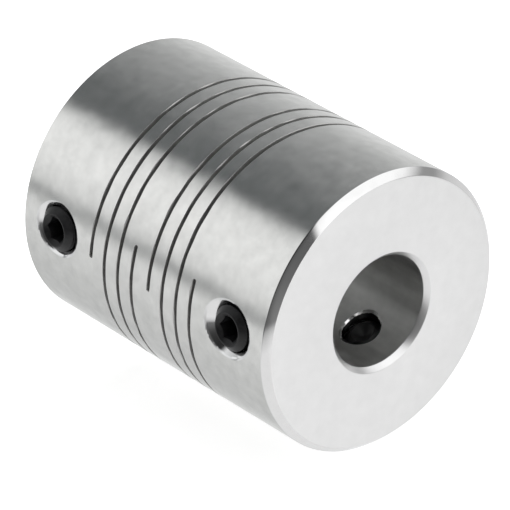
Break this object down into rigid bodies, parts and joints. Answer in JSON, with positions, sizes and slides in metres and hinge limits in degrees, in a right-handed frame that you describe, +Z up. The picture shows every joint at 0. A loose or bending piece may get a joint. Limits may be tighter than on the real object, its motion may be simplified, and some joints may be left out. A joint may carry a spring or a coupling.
{
  "type": "helical beam shaft coupling",
  "caption": "Flexible shaft coupling: a slotted aluminium tube whose helical beams bend between two bored hubs, gripped on each shaft by set screws.",
  "frame": {"origin": "centre of the coupling on its shaft axis", "axes": "+X along the shaft axis from end a to end b, +Z up; angles about the axis count from +Z towards +Y"},
  "size_m": [0.0318, 0.0258, 0.0254],
  "materials": {
    "body": "turned, bare",
    "set_screw": "black oxide"
  },
  "bodies": {
    "hub_a": {"hub_a": "body"},
    "beam_a1": {"beam_a1": "body"},
    "beam_a2": {"beam_a2": "body"},
    "centre_ring": {"centre_ring": "body"},
    "beam_b1": {"beam_b1": "body"},
    "beam_b2": {"beam_b2": "body"},
    "hub_b": {"hub_b": "body"},
    "set_screw_a1": {"set_screw_a1": "set_screw"},
    "set_screw_a2": {"set_screw_a2": "set_screw"},
    "set_screw_b1": {"set_screw_b1": "set_screw"},
    "set_screw_b2": {"set_screw_b2": "set_screw"}
  },
  "joints": [
    {"name": "group_a_bend_y", "type": "hinge", "parent": "hub_a", "child": "beam_a1", "pos_m": [-0.00373, 0, 0], "axis": [0, 1, 0], "range_deg": [-2.9, 2.9], "stiffness_Nm_per_rad": 4, "deforming": ["beam_a1"]},
    {"name": "group_a_bend_z", "type": "hinge", "parent": "beam_a1", "child": "beam_a2", "pos_m": [-0.00373, 0, 0], "axis": [0, 0, 1], "range_deg": [-2.9, 2.9], "stiffness_Nm_per_rad": 4, "deforming": ["beam_a2"]},
    {"name": "group_a_stretch", "type": "slide", "parent": "beam_a2", "child": "centre_ring", "axis": [1, 0, 0], "range_m": [-0.00025, 0.00025], "stiffness_N_per_m": 30000, "deforming": ["beam_a2"]},
    {"name": "group_b_bend_y", "type": "hinge", "parent": "centre_ring", "child": "beam_b1", "pos_m": [0.00373, 0, 0], "axis": [0, 1, 0], "range_deg": [-2.9, 2.9], "stiffness_Nm_per_rad": 4, "deforming": ["beam_b1"]},
    {"name": "group_b_bend_z", "type": "hinge", "parent": "beam_b1", "child": "beam_b2", "pos_m": [0.00373, 0, 0], "axis": [0, 0, 1], "range_deg": [-2.9, 2.9], "stiffness_Nm_per_rad": 4, "deforming": ["beam_b2"]},
    {"name": "group_b_wind_up", "type": "hinge", "parent": "beam_b2", "child": "hub_b", "pos_m": [0.00373, 0, 0], "axis": [1, 0, 0], "range_deg": [-2.5, 2.5], "stiffness_Nm_per_rad": 55, "deforming": ["beam_b2"]},
    {"name": "set_screw_a1_travel", "type": "slide", "parent": "hub_a", "child": "set_screw_a1", "axis": [0, -0.9962, 0.0872], "range_m": [-0.00205, 0.0033]},
    {"name": "set_screw_a2_travel", "type": "slide", "parent": "hub_a", "child": "set_screw_a2", "axis": [0, 0.4226, -0.9063], "range_m": [-0.0004, 0.00495]},
    {"name": "set_screw_b1_travel", "type": "slide", "parent": "hub_b", "child": "set_screw_b1", "axis": [0, -0.9962, 0.0872], "range_m": [-0.0017, 0.00365]},
    {"name": "set_screw_b2_travel", "type": "slide", "parent": "hub_b", "child": "set_screw_b2", "axis": [0, 0.4226, -0.9063], "range_m": [-0.0004, 0.00495]}
  ]
}
